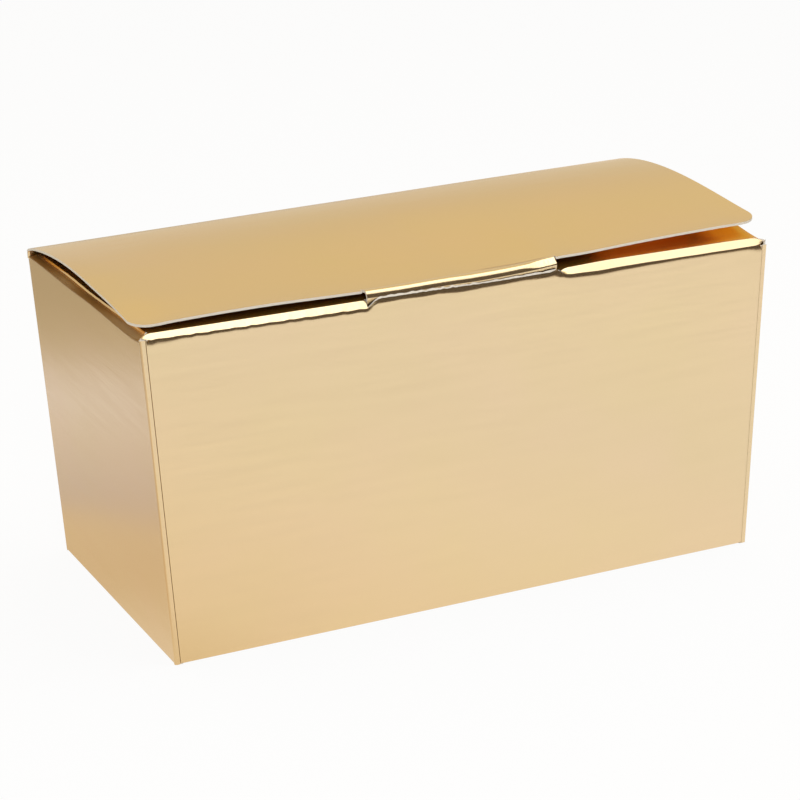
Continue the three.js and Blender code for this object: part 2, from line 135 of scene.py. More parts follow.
def falling(x, start, length):
    """1 up to start, then softly down to 0 over the length."""
    return smooth((start + length - x) / length)


def hump(x, middle, width):
    """1 at the middle, and softly down to 0 on both sides of it."""
    return np.exp(-(((x - middle) / width) ** 2))


def unit(vectors):
    return vectors / np.linalg.norm(vectors, axis=-1, keepdims=True)


def spread(*stops):
    """Values through the stops: a value, a count of steps to the next value, and so on."""
    values = [float(stops[0])]
    for steps, value in zip(stops[1::2], stops[2::2]):
        values.extend(np.linspace(values[-1], value, steps + 1)[1:])
    return np.array(values)


def fold_line(corners, steps):
    """Points along a line with rounded corners, each given as (across, up, radius). steps counts
    the points on each straight."""
    points = [np.array(corners[0][:2], float)]
    for i, corner in enumerate(corners[1:], 1):
        at = np.array(corner[:2], float)
        if i == len(corners) - 1:
            points.extend(np.linspace(points[-1], at, steps[i - 1] + 1)[1:])
            break
        arrive = unit(at - np.array(corners[i - 1][:2], float))
        leave = unit(np.array(corners[i + 1][:2], float) - at)
        turn = math.atan2(arrive[0] * leave[1] - arrive[1] * leave[0], float(arrive @ leave))
        radius = corner[2]
        start = at - arrive * radius * math.tan(abs(turn) / 2)
        if np.linalg.norm(start - points[-1]) > HAIR:
            points.extend(np.linspace(points[-1], start, steps[i - 1] + 1)[1:])
        side = np.array([-arrive[1], arrive[0]]) * math.copysign(1, turn)
        centre = start + side * radius
        count = max(3, math.ceil(abs(turn) / math.radians(9)))
        for angle in np.linspace(0, turn, count + 1)[1:]:
            c, s = math.cos(angle), math.sin(angle)
            arm = start - centre
            points.append(centre + np.array([c * arm[0] - s * arm[1], s * arm[0] + c * arm[1]]))
    return np.array(points)


def run_of(points):
    """Distance along a line of points, one row for each point."""
    steps = np.linalg.norm(np.diff(points, axis=0), axis=1)
    return np.concatenate([[0], np.cumsum(steps)])[:, None]


def tangents(points, axis):
    steps = unit(np.diff(points, axis=axis))
    first, last = np.take(steps, [0], axis), np.take(steps, [-1], axis)
    return unit(np.concatenate([first, steps], axis) + np.concatenate([steps, last], axis))


def squares(skin):
    """Unit vectors square to a grid of points, on the side that rows crossed with columns give."""
    return unit(np.cross(tangents(skin, 0), tangents(skin, 1)))


def board():
    """Thickness of the card, in millimetres."""
    return bpy.context.scene.ballotin.board / MM


def inner_face(skin, toward):
    """The board's other face, on the side of the skin where the point toward lies."""
    square = squares(skin)
    row, column = skin.shape[0] // 2, skin.shape[1] // 2
    side = math.copysign(1, square[row, column] @ (toward - skin[row, column]))
    return skin + square * side * board()


def ripple(u, v, size, seed):
    """Slow unevenness of the card, as a sum of a few waves across it."""
    total = np.zeros(np.broadcast(u, v).shape)
    for k in range(1, 6):
        angle = seed * 2.4 + k * 1.9
        pitch = size * (0.62 + 0.31 * ((seed * 7 + k * 5) % 4))
        phase = 2 * math.pi * (u * math.cos(angle) + v * math.sin(angle)) / pitch
        total = total + np.sin(phase + seed + k * k) / k
    return total / 2.2


WALLS = {
    "front": (np.array([0.0, -1, 0]), np.array([1.0, 0, 0]), BASE_DEPTH / 2),
    "back": (np.array([0.0, 1, 0]), np.array([1.0, 0, 0]), BASE_DEPTH / 2),
    "left": (np.array([-1.0, 0, 0]), np.array([0, 1.0, 0]), BASE_LENGTH / 2),
    "right": (np.array([1.0, 0, 0]), np.array([0, 1.0, 0]), BASE_LENGTH / 2),
}


def on_wall(wall, across, inward, up):
    """Points given along a wall, inward from its base edge, and up."""
    out, along, half = WALLS[wall]
    across, inward, up = np.broadcast_arrays(across, inward, up)
    return (
        out * (half - inward)[..., None]
        + along * across[..., None]
        + np.array([0, 0, 1.0]) * up[..., None]
    )


# Card pieces


def card_piece(
    name, skin, keep, place,
    wear_and_shade=0.0, inner=None, inside=None, amber=0.0, lining=1.0, scuffs_and_shade=0.0,
):
    """A sheet of board from a grid of points on its skin. keep says which cells are there, place gives
    each point's place on the flat blank, wear how hard the card is creased there, which crumples its
    film and darkens it with painted shade, scuffs how far its film is dulled and darkened, partly by
    scuffing and partly as painted shade, and inside a point on the board's side of the skin. amber and
    lining are 1 where the skin and the inner face have the deeper film of the box's inside, which on
    the flaps' skin under the lid is painted shade."""
    rows, columns = skin.shape[:2]
    if inner is None:
        inner = inner_face(skin, inside)
    count = rows * columns
    index = np.arange(count).reshape(rows, columns)
    faces, kinds, sharp = [], [], set()
    present = np.zeros((rows + 1, columns + 1), bool)
    present[1:rows, 1:columns] = keep
    for i, j in np.argwhere(keep):
        a, b, c, d = index[i, j], index[i, j + 1], index[i + 1, j + 1], index[i + 1, j]
        faces.append((a, b, c, d))
        faces.append((count + d, count + c, count + b, count + a))
        kinds += [0, 0]
        beside = (
            present[i, j + 1],
            present[i + 1, j + 2],
            present[i + 2, j + 1],
            present[i + 1, j],
        )
        for p, q, there in zip((a, b, c, d), (b, c, d, a), beside):
            if not there:
                faces.append((q, p, count + p, count + q))
                kinds.append(1)
                sharp.add((min(p, q), max(p, q)))
                sharp.add((count + min(p, q), count + max(p, q)))
    points = np.concatenate([skin.reshape(-1, 3), inner.reshape(-1, 3)])
    parts = (*place, amber, lining, wear_and_shade, scuffs_and_shade)
    spread_out = (np.broadcast_to(part, (rows, columns)).ravel() for part in parts)
    u, v, over, under, worn_and_shaded, rubbed_and_shaded = spread_out
    depths = DEEP_FILM_AND_SHADE_MARK * np.concatenate([over, under])
    places = np.stack([np.tile(u, 2), np.tile(v, 2), depths], axis=1)
    used, faces = np.unique(np.array(faces), return_inverse=True)
    faces = faces.reshape(-1, 4)
    new_index = {int(old): new for new, old in enumerate(used)}
    if flipped(points[used], faces, skin, inner, keep):
        faces = faces[:, ::-1]
    mesh = bpy.data.meshes.new(name)
    mesh.from_pydata((points[used] * MM).tolist(), [], faces.tolist())
    mesh.update()
    for material in card_materials():
        mesh.materials.append(material)
    kinds = np.array(kinds)
    mesh.polygons.foreach_set("material_index", kinds.astype(np.int32))
    mesh.polygons.foreach_set("use_smooth", kinds == 0)
    sharp = {(new_index[int(p)], new_index[int(q)]) for p, q in sharp}
    marks = mesh.attributes.new("sharp_edge", "BOOLEAN", "EDGE")
    marks.data.foreach_set("value", [tuple(sorted(e.vertices)) in sharp for e in mesh.edges])
    spot = mesh.attributes.new("board_place", "FLOAT_VECTOR", "POINT")
    spot.data.foreach_set("vector", places[used].astype(np.float32).ravel())
    for label, values in (("crease_wear_and_shade", worn_and_shaded), ("scuffed_and_shaded", rubbed_and_shaded)):
        marks = mesh.attributes.new(label, "FLOAT", "POINT")
        marks.data.foreach_set("value", np.tile(values, 2)[used].astype(np.float32))
    piece = bpy.data.objects.new(name, mesh)
    bpy.context.scene.collection.objects.link(piece)
    return piece


def flipped(points, faces, skin, inner, keep):
    """Whether the first face, which lies on the skin, looks into the board."""
    a, b, c = points[faces[0][:3]]
    i, j = np.argwhere(keep)[0]
    return np.cross(b - a, c - a) @ (skin[i, j] - inner[i, j]) < 0


def all_cells(skin):
    return np.ones((skin.shape[0] - 1, skin.shape[1] - 1), bool)


def wall_line(slope, steps):
    """Section of a wall's plain part, from under the base and round the fold, as (inward, up)."""
    return fold_line(
        [(BASE_FOOT, 0, 0), (0, 0, BASE_FOLD), (-PLAIN_TOP * slope, PLAIN_TOP, 0)], [1, steps]
    )


def face_section(steps, top):
    """Section of the front or the back wall: its plain part, then the heights in top."""
    fold = wall_line(FACE_SLOPE, steps)
    return np.concatenate([fold[:, 0], -top * FACE_SLOPE]), np.concatenate([fold[:, 1], top])


def free_of_folds(up, side, across, below_top, from_sides):
    """1 in the middle of a wall, where its card is uneven, and 0 along the folds."""
    level = smooth(up / 10) * smooth((PLAIN_TOP + 0.5 - up) / below_top)
    return level[:, None] * smooth((side[:, None] - np.abs(across)) / from_sides)


def face_side(up):
    """Half width of the front and the back face between the corner beads."""
    return half_length(up) - BEAD_WIDTH - WEB_TURN - GROOVE


def leaning(columns, outer, fixed):
    """Columns that keep their places up to fixed, and stretch from there to outer, row by row."""
    reach = np.abs(columns).max()
    share = np.clip((np.abs(columns) - fixed) / (reach - fixed), 0, 1)
    return np.sign(columns) * (
        np.minimum(np.abs(columns), fixed) + share * (np.asarray(outer)[:, None] - fixed)
    )


def rounded_end(width, ahead, end, radius):
    """Half width of a flap whose free corners are rounded."""
    past = np.clip(ahead - (end - radius), 0, radius)
    return width - (radius - np.sqrt(radius**2 - past**2))


def mouth_sag(x):
    """How far the front strips' lower and upper lines lie off the level."""
    left = falling(x, SLIT[0], 8)
    right = 1 - left
    drooping = 0.18 + 0.32 * np.clip((x + 61) / 40, 0, 1)
    dented = 0.16 * hump(x, 26, 4.5) - 0.02
    wavering = 0.05 * left * (np.sin(1.9 * x) + 0.7 * np.sin(3.7 * x + 1)) + 0.015 * np.sin(0.9 * x)
    slit_end = 0.35 * right * np.clip(1 - (x - SLIT[1]) / 1.8, 0, 1) ** 2
    sprung = 0.1 + 0.28 * rising(x, 18, 12) - 0.1 * rising(x, 54, 7)
    low = wavering - left * drooping - right * dented + slit_end + 0.32 * tip_pinch(x)
    high = right * sprung - 0.25 * left - slit_end - 0.49 * tip_pinch(x)
    return low, high


def tip_pinch(x):
    """1 where the front strips have narrowed to a point at the box's ends."""
    return np.clip(-(x + 60) / 2, 0, 1) ** 2 + np.clip((x - 59.6) / 2, 0, 1) ** 2


def lean_in(x):
    """How far the front wall rounds in below its strips, and the height where it starts to."""
    dented = hump(x, 25, 9)
    at_left, at_right = falling(x, -59, 5), rising(x, 58, 3)
    amount = 0.2 - 0.05 * rising(-x, 30, 8) + 0.05 * dented - 0.07 * rising(x, 32, 14)
    amount = amount + 0.06 * at_left + 0.1 * at_right + 0.36 * tip_pinch(x)
    start = WALL_HEIGHT - 1 - 0.3 * dented - 0.9 * falling(x, -61, 9) - 1.1 * rising(x, 58, 4)
    return amount, start


def lip_height(across):
    """How far the raw lip's edge lies off its even height, torn and sagging."""
    torn = 0.05 * np.sin(5.3 * across) * np.sin(1.1 * across + 2) + 0.03 * np.sin(3.1 * across + 1)
    return torn * (0.3 + 0.9 * hump(across, -5, 6)) - 0.14 * hump(across, 3, 8)


def build_front_wall():
    beside = 0.7
    columns = spread(
        -62, 40, SLIT[0] - beside, 2, SLIT[0], 2, SLIT[0] + LIP_RAMP, 110,
        SLIT[1] - LIP_RAMP, 2, SLIT[1], 2, SLIT[1] + beside, 40, 62,
    )
    top = spread(PLAIN_TOP, 6, 59.2, 8, WALL_HEIGHT, 7, WALL_HEIGHT + LIP_RISE)[1:]
    inward, up = face_section(44, top)
    side = face_side(up)
    tight_side = side + WEB_TURN - TIGHT_TURN
    across = np.where(columns > 0, leaning(columns, tight_side, 30), leaning(columns, side, 30))
    above = up > WALL_HEIGHT + HAIR
    share = np.clip((up - WALL_HEIGHT) / LIP_RISE, 0, 1)[:, None]
    slit = (columns >= SLIT[0] - HAIR) & (columns <= SLIT[1] + HAIR)
    middle, half = (SLIT[0] + SLIT[1]) / 2, (SLIT[1] - SLIT[0]) / 2
    squeezed = middle + (across - middle) * (half - LIP_RAMP * share) / half
    across = np.where(above[:, None] & slit[None, :], squeezed, across)
    low = mouth_sag(across)[0]
    in_slit = smooth((columns - SLIT[0]) / 1.2) * smooth((SLIT[1] - columns) / 1.2)
    sagging = rising(up, 56, 4)[:, None] * (1 - in_slit * rising(up, 59, 1)[:, None])
    height = up[:, None] + low * sagging + lip_height(across) * in_slit * share**3
    amount, start = lean_in(across)
    turned = np.clip((up[:, None] - start) / (WALL_HEIGHT - start), 0, 1) ** 3 * amount
    lip_fold = 59.68 + 0.05 * np.sin(0.8 * across) + 0.2 * rising(np.abs(across + 1), 2, 5)
    past = np.clip(up[:, None] - lip_fold, 0, None)
    width = 0.7  # of the lip's fold, by height
    lipped = np.where(past > width, past - width / 2, past**2 / (2 * width))
    depth = inward[:, None] + turned * (1 - in_slit) + LIP_LEAN * lipped * in_slit
    uneven = free_of_folds(up, side, across, 8, 10)
    depth = depth - 0.035 * uneven * ripple(across, up[:, None], 46, 1)
    skin = on_wall("front", across, depth, height)
    keep = all_cells(skin)
    keep[above[1:]] = slit[:-1] & slit[1:]
    # The lip and the fold below it count as creased: their film crumples and takes painted shade, most
    # towards the slit's right end.
    crushed = 0.35 + 0.65 * rising(across, 9, 5) * falling(across, 18, 2)
    wear_and_shade = rising(up, 59.3, 0.5)[:, None] * crushed
    run = run_of(np.stack([inward, up], 1))
    inner = inner_face(skin, INSIDE)
    ragged = 1 + 0.25 * np.sin(2.3 * across[-1]) * np.sin(0.7 * across[-1] + 1)
    inner[-1, :, 2] += LIP_BURR * ragged * in_slit
    piece = card_piece("front_wall_card", skin, keep, (across, run), wear_and_shade, inner=inner)
    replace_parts(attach(piece, "root"), "front_wall")


def build_back_wall():
    top = spread(PLAIN_TOP, 3, WALL_HEIGHT, 1, BACK_SHOULDER, 5, HINGE_HEIGHT)[1:]
    inward, up = face_section(30, top)
    face, ear_end = 61.0, 64.0  # columns where the face ends and where its ears do
    columns = spread(-ear_end, 2, -face, 60, face, 2, ear_end)
    side = face_side(np.minimum(up, BACK_SHOULDER))
    body = np.abs(columns) <= face
    across = leaning(np.clip(columns, -face, face), side, 40)
    ear_share = (np.abs(columns) - face) / (ear_end - face)
    ear = np.sign(columns) * (side[:, None] + ear_share * (LID_HALF_LENGTH - 0.05 - side[:, None]))
    across = np.where(body[None, :], across, ear)
    uneven = free_of_folds(up, side, across, 10, 10)
    depth = inward[:, None] - 0.03 * uneven * ripple(across, up[:, None], 50, 2)
    skin = on_wall("back", across, depth, up[:, None])
    keep = all_cells(skin)
    keep[up[1:] <= BACK_SHOULDER + HAIR] = body[:-1] & body[1:]
    wear_and_shade = rising(up, 60.4, 0.8)[:, None]
    run = run_of(np.stack([inward, up], 1))
    inner = inner_face(skin, INSIDE)
    curled = (up > WALL_HEIGHT + 0.02)[:, None] & ~body[None, :]
    inner[..., 1] -= np.where(curled, 0.42 * (LID_HALF_LENGTH - np.abs(across)), 0)
    piece = card_piece(
        "back_wall_card", skin, keep, (across, run + 200), wear_and_shade,
        inner=inner, lining=np.where(curled, 0.0, 1.0),
    )
    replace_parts(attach(piece, "root"), "back_wall")


def end_wall_top():
    """Section of an end wall's top: wall, round fold, strip, raised fold and the flap's start."""
    slope = WALL_HEIGHT * END_SLOPE
    depth, rise = END_STRIP
    return fold_line(
        [
            (-PLAIN_TOP * END_SLOPE, PLAIN_TOP, 0),
            (-slope, WALL_HEIGHT, 0.12),
            (depth - slope - 0.28, WALL_HEIGHT + rise - 0.2, 0.06),
            (depth - slope, WALL_HEIGHT + rise + 0.05, 0.1),
            (depth - slope + 0.5, WALL_HEIGHT + rise, 0),
        ],
        [WALL_TOP_STEPS, 4, 2, 2],
    )


def corner_rise(name, across):
    """How far the right end's crease strip springs up at its front corner."""
    return 0.7 * rising(-across, 28.6, 2.6) * (name == "right")


def end_sag(name, across):
    """How far the left end's upper edge sags towards the front corner, and rises to the back."""
    front = 0.62 * rising(-across, 2, 26) - 0.2 * rising(-across, 28, 3)
    return (front - 0.4 * rising(across, 4, 24)) * (name == "left")


def build_end_wall(name, seed):
    points = np.concatenate([wall_line(END_SLOPE, 34), end_wall_top()[1 : WALL_TOP_STEPS + 1]])
    inward, up = points[:, 0], points[:, 1]
    side = half_depth(up) - 0.6
    across = leaning(spread(-31, 50, 31), side, 10)
    uneven = free_of_folds(up, side, across, 8, 8)
    depth = inward[:, None] - 0.045 * uneven * ripple(across, up[:, None], 38, seed)
    height = up[:, None] + corner_rise(name, across) * rising(up, 58.5, 1.5)[:, None]
    height = height - end_sag(name, across) * rising(up, 50, 10)[:, None]
    skin = on_wall(name, across, depth, height)
    keep = all_cells(skin)
    wear_and_shade = rising(up, 59.2, 0.6)[:, None]
    run = run_of(points)
    # The wall's top takes the dark brown dull film, partly scuffing and partly painted shade mirrored
    # from under the lid.
    piece = card_piece(
        f"{name}_wall_card", skin, keep, (across, run + 400 + 100 * seed), wear_and_shade,
        inside=INSIDE, scuffs_and_shade=rising(up, 59.95, 0.1)[:, None],
    )
    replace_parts(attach(piece, "root"), f"{name}_wall")


def build_base():
    columns = spread(-BASE_LENGTH / 2 + BASE_FOOT, 40, BASE_LENGTH / 2 - BASE_FOOT)
    rows = spread(-BASE_DEPTH / 2 + BASE_FOOT, 24, BASE_DEPTH / 2 - BASE_FOOT)
    x, y = np.meshgrid(columns, rows)
    edge = smooth((columns[-1] - np.abs(x)) / 12) * smooth((rows[-1] - np.abs(y)) / 12)
    z = edge * (0.1 + 0.05 * ripple(x, y, 60, 3))
    skin = np.stack([x, y, z], -1)
    piece = card_piece("base_card", skin, all_cells(skin), (x, y - 100), inside=INSIDE)
    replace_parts(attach(piece, "root"), "base_panel")


# Corner webs


def leaf_edges(column):
    """Lower and upper edge of a web's leaf, as lines of (inward, up)."""
    half_turn = (math.pi / 2 - math.atan(END_SLOPE) - math.atan(FACE_SLOPE)) / 2
    tip = np.array([WEB_REACH, WEB_REACH / math.tan(half_turn)])
    low, high = np.array([column, WEB_FOOT]), np.array([column, WEB_SHOULDER])
    to_low, to_high = unit(low - tip), unit(high - tip)
    middle = unit(to_low + to_high)
    half_angle = math.acos(float(to_low @ middle))
    centre = tip + middle * WEB_TIP_RADIUS / math.sin(half_angle)
    setback = WEB_TIP_RADIUS / math.tan(half_angle)
    edges = []
    for start, toward in ((low, to_low), (high, to_high)):
        touch = tip + toward * setback - centre
        first = math.atan2(touch[1], touch[0])
        arc = [
            centre + WEB_TIP_RADIUS * np.array([math.cos(a), math.sin(a)])
            for a in np.linspace(first, 0, 9)
        ]
        edges.append(np.array([start, *arc]))
    return edges


def build_web(name, end, wall, section, column, spring, seed):
    """One leaf of a corner web. Its section is (from the end wall's face, from the front or back
    wall's face), and it is sheared with the walls that it joins."""
    side, face = (-1 if end == "left" else 1), (-1 if wall == "front" else 1)
    low_edge, high_edge = leaf_edges(column)
    reach = low_edge[-1, 0]
    inward = section[:, 1]
    at_bead = inward <= column + HAIR
    low = np.where(at_bead, 0.0, np.interp(inward, low_edge[:, 0], low_edge[:, 1]))
    high = np.where(at_bead, WEB_TOP, np.interp(inward, high_edge[:, 0], high_edge[:, 1]))
    share = spread(0, 30, 1)
    z = low[None, :] + (high - low)[None, :] * share[:, None]
    lift = spring * np.clip((inward - column) / (reach - column), 0, 1) ** 2
    x = side * (half_length(z) - section[None, :, 0] - lift[None, :])
    y = face * (half_depth(z) - inward[None, :])
    skin = np.stack([x, y, z], -1)
    run = run_of(section)
    steps = unit(np.diff(section, axis=0))
    bent = 1 - np.sum(steps[1:] * steps[:-1], axis=1)
    wear_and_shade = 0.35 * np.clip(np.concatenate([[0], bent, [0]]) / 0.005, 0, 1)
    wear_and_shade = wear_and_shade[None, :] * (0.3 + 0.7 * rising(z, 50, 8))
    normal = squares(skin)
    wanted = -side if section[:, 0].min() > BEAD_WIDTH else side
    facing = math.copysign(1, normal[5, np.argmax(inward)][0] * wanted)
    inner = skin + normal * facing * board()
    inner[..., 2] = np.maximum(inner[..., 2], 0)
    place = (run.T, z + 60 * seed)
    piece = card_piece(name + "_card", skin, all_cells(skin), place, wear_and_shade, inner=inner)
    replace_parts(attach(piece, "root"), name)


def build_corner(end, wall, seed):
    tight = (end, wall) == ("right", "front")
    margin = 0.02
    column = BEAD_WIDTH / 2 + 0.1
    reach = leaf_edges(column)[0][-1, 0] - margin
    outer = fold_line(
        [
            (BEAD_WIDTH, reach, 0),
            (BEAD_WIDTH, 0, 0.05 if tight else 0.12),
            (0, 0, BEAD_RADIUS),
            (0, column - 0.01, 0),
        ],
        [16, 2, 2],
    )
    build_web(f"{wall}_{end}_web_outer", end, wall, outer, column, 0.0, seed)
    skin = BEAD_WIDTH + 0.05
    column = 0.6
    reach = leaf_edges(column)[0][-1, 0] - margin
    turn = TIGHT_TURN if tight else WEB_TURN
    inner = fold_line([(skin + turn + 0.02, 0, 0), (skin, 0, turn), (skin, reach, 0)], [1, 16])
    build_web(f"{wall}_{end}_web_inner", end, wall, inner, column, 0.4, seed + 1)


# Flaps


def build_front_flap():
    """The front wall's two crease strips and the flap behind them, notched for the slit."""
    slope = WALL_HEIGHT * FACE_SLOPE
    depth, rise = FRONT_STRIP
    line = fold_line(
        [
            (STRIP_START - slope, WALL_HEIGHT, 0),
            (depth - slope, WALL_HEIGHT + rise, 0.25),
            (SLIT_DEPTH - slope, WALL_HEIGHT + rise, 0),
        ],
        [7, 3],
    )
    rounded = FRONT_FLAP_END - FRONT_FLAP_RADIUS
    back = spread(SLIT_DEPTH, 4, 5, 12, rounded, 14, FRONT_FLAP_END) - slope
    inward = np.concatenate([line[:, 0], back[1:]])
    up = np.concatenate([line[:, 1], np.full(len(back) - 1, WALL_HEIGHT + rise)])
    columns = spread(-62, 90, SLIT[0], 26, SLIT[1], 90, 62)
    ahead = inward + slope
    mouth = half_length(WALL_HEIGHT)
    side = np.where(ahead < depth + 0.2, mouth - 0.25, mouth - 0.5)
    side = side - 1.5 * np.clip((ahead - 1.35) / 26, 0, 1)
    side = rounded_end(side, ahead, FRONT_FLAP_END, FRONT_FLAP_RADIUS)
    across = leaning(columns, side, 40)
    behind = rising(ahead, 1.1, 0.6)[:, None]
    across = across + 1.4 * behind * rising(-across, 50, 12)
    across = across - 0.5 * (1 - behind) * rising(across, 58, 3.5)
    low, high = mouth_sag(across)
    share = np.clip((ahead - STRIP_START) / (depth - STRIP_START), 0, 1)[:, None]
    height = up[:, None] + low * (1 - share) + high * share * falling(ahead, depth, 20)[:, None]
    past = np.clip(ahead - depth - 0.5, 0, None)[:, None]
    spring = 0.15 + 0.85 * rising(across, 5, 52) + 0.5 * rising(across, 55, 6)
    height = height + FLAP_SPRING * spring * past**2 / (past + 1.5)
    height = height + 0.02 * rising(ahead, 4, 6)[:, None] * ripple(across, ahead[:, None], 30, 5)
    leaned = (lean_in(across)[0] - STRIP_START) * (1 - share)
    leaned = leaned - 0.55 * tip_pinch(across) * share * falling(ahead, depth, 1.5)[:, None]
    skin = on_wall("front", across, inward[:, None] + leaned, height)
    slit = (columns >= SLIT[0] - HAIR) & (columns <= SLIT[1] + HAIR)
    keep = all_cells(skin)
    keep[ahead[1:] <= SLIT_DEPTH + HAIR] = ~(slit[:-1] & slit[1:])
    wear_and_shade = 0.3 * falling(ahead, depth, 0.7)[:, None]
    run = run_of(np.stack([inward, up], 1))
    # Past its strip the flap's skin takes the deeper amber film as painted shade of the gap under the
    # lid.
    piece = card_piece(
        "front_flap_card", skin, keep, (across, run + 62), wear_and_shade,
        inside=UNDER_FLAPS, amber=rising(ahead, depth + 0.1, 0.4)[:, None],
    )
    start = on_wall("front", 0.0, STRIP_START - slope, WALL_HEIGHT + 0.1)
    end = on_wall("front", 0.0, depth + 0.1 - slope, WALL_HEIGHT + rise)
    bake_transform(piece)
    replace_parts(piece, "front_flap")


def build_end_flap(name, seed):
    slope = WALL_HEIGHT * END_SLOPE
    depth, rise = END_STRIP
    top = end_wall_top()[WALL_TOP_STEPS:]
    end = END_FLAP_END - slope
    back = spread(top[-1, 0], 2, 2.5 - slope, 8, end - END_FLAP_RADIUS - 1, 14, end)
    inward = np.concatenate([top[:, 0], back[1:]])
    up = np.concatenate([top[:, 1], np.full(len(back) - 1, WALL_HEIGHT + rise)])
    ahead = inward + slope
    strip_end = half_depth(WALL_HEIGHT) - 0.55 - 1.3 * np.clip(ahead / depth, 0, 1)
    root = half_depth(WALL_HEIGHT) - 2.5
    edge, ear_end = 30, 32  # columns where the flap ends and where its ears do
    columns = spread(-ear_end, 2, -edge, 40, edge, 2, ear_end)
    body = np.abs(columns) <= edge
    side = root - np.clip(ahead - depth, 0, None)
    side = rounded_end(side, ahead, END_FLAP_END, END_FLAP_RADIUS)
    across = leaning(np.clip(columns, -edge, edge), side, 2)
    ear_share = (np.abs(columns) - edge) / (ear_end - edge)
    ear = np.sign(columns) * (side[:, None] + ear_share * (strip_end - side)[:, None])
    across = np.where(body[None, :], across, ear)
    height = up[:, None] - 0.3 * rising(ahead, depth, 3)[:, None] + corner_rise(name, across)
    height = height - end_sag(name, across) * falling(ahead, 0, depth)[:, None]
    if name == "left":
        swell = rising(ahead, 0, depth) * falling(ahead, depth, 6)
        height = height + 0.45 * swell[:, None] * rising(across, -4, 18)
    uneven = 0.03 * rising(ahead, 3, 6)[:, None]
    height = height + uneven * ripple(across, ahead[:, None], 24, seed)
    height = height + 0.02 * np.sin(across * 1.3 + seed) * falling(ahead, 1, 2)[:, None]
    skin = on_wall(name, across, inward[:, None], height)
    keep = all_cells(skin)
    keep[ahead[1:] > depth + 0.35] = body[:-1] & body[1:]
    wear_and_shade = 0.3 * falling(ahead, depth, 0.7)[:, None]
    run = run_of(np.stack([inward, up], 1))
    # The strip takes the dark brown dull film, partly scuffing and partly painted shade mirrored from
    # under the lid, and the flap's skin past it the deeper amber film as painted shade of the gap under
    # the lid.
    piece = card_piece(
        f"{name}_flap_card", skin, keep, (across, run + 460 + 100 * seed), wear_and_shade,
        inside=UNDER_FLAPS, amber=rising(ahead, depth + 0.15, 0.2)[:, None],
        scuffs_and_shade=falling(ahead, depth - 0.4, 0.1)[:, None],
    )
    start = on_wall(name, 0.0, top[0, 0], top[0, 1])
    end = on_wall(name, 0.0, depth + 0.1 - slope, WALL_HEIGHT + rise)
    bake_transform(piece)
    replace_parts(piece, f"{name}_flap")


# Lid and tongue


def front_waves(x):
    """How far the lid's front edge stands off its even bow."""
    left = 0.4 * hump(x, -44, 19) * rising(x, -61.5, 6)
    right = 0.34 * hump(x, 38, 20) * falling(x, 53, 8)
    return left + right + 0.2 * hump(x, -4, 7) + 0.22 * hump(x, 18, 4)


def lid_rise(x, ahead):
    """Height of the lid's skin above its hinge line."""
    share = np.clip(ahead / LID_LENGTH, 0, 1)
    bow = (share / 0.47) ** 0.62 * ((1 - share) / 0.53) ** 1.31
    along = x / LID_HALF_LENGTH
    crown = 4.15 + 1.45 * along - 0.5 * along**2
    right = np.clip(along, 0, None)
    left = np.clip(-36 - x, 0, None) / (LID_HALF_LENGTH - 36)
    edge = 0.6 * rising(share, 0.04, 0.42) * falling(share, 0.785, 0.2)
    edge = edge * (1 - 0.15 * rising(share, 0.55, 0.1)) * hump(x, -62.6, 10)
    waves = rising(share, 0.45, 0.55) * front_waves(x)
    return (0.65 + 2.42 * right - 0.3 * left) * share + crown * bow + edge + waves


def build_lid():
    ahead = np.concatenate(
        [
            spread(0, 5, 1.0)[:-1],
            1 + (LID_LENGTH - 6) * spread(0, 34, 1) ** 1.4,
            spread(LID_LENGTH - 5, 18, TONGUE_CREASE, 3, LID_LENGTH)[1:],
        ]
    )
    relief = (TONGUE[0] - TONGUE_FLARE - 0.05, TONGUE[1] + TONGUE_FLARE + 0.05)
    columns = spread(-LID_HALF_LENGTH, 34, relief[0], 26, relief[1], 34, LID_HALF_LENGTH)
    side = np.full(len(ahead), LID_HALF_LENGTH - 0.03)
    left, right = (rounded_end(side, ahead, LID_LENGTH, radius) for radius in LID_CORNERS)
    across = np.where(columns < 0, leaning(columns, left, 50), leaning(columns, right, 50))
    rise = lid_rise(across, ahead[:, None])
    edge = smooth(ahead / 8)[:, None] * smooth((LID_LENGTH - ahead) / 10)[:, None]
    rise = rise + 0.03 * edge * (ripple(across, ahead[:, None], 55, 6) - 1)
    skin = np.stack([across, HINGE_Y - ahead[:, None] + 0 * across, HINGE_HEIGHT + rise], -1)
    normal = squares(skin)
    normal = normal * -np.sign(normal[..., 2:])
    inner = skin + normal * board()
    inner[0] = skin[0] + np.array([0, -board(), -board()])
    notch = (columns >= relief[0] - HAIR) & (columns <= relief[1] + HAIR)
    keep = all_cells(skin)
    keep[ahead[1:] > TONGUE_CREASE + HAIR] = ~(notch[:-1] & notch[1:])
    # A darker line painted across the lid just behind the tongue's crease, as dark brown dull film.
    dark_line_at = TONGUE_CREASE - 0.1 - 0.06 * np.clip(14 - across, 0, None)
    dark_line = hump(ahead[:, None], dark_line_at, 0.28) * rising(across, 1, 5) * falling(across, 14, 3)
    wear_and_shade = 1 - smooth(ahead / 1.2)[:, None]
    piece = card_piece(
        "lid_card", skin, keep, (across, 262 + ahead[:, None]), wear_and_shade, inner=inner,
        scuffs_and_shade=0.6 * dark_line,
    )
    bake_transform(piece)
    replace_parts(piece, "lid_panel")


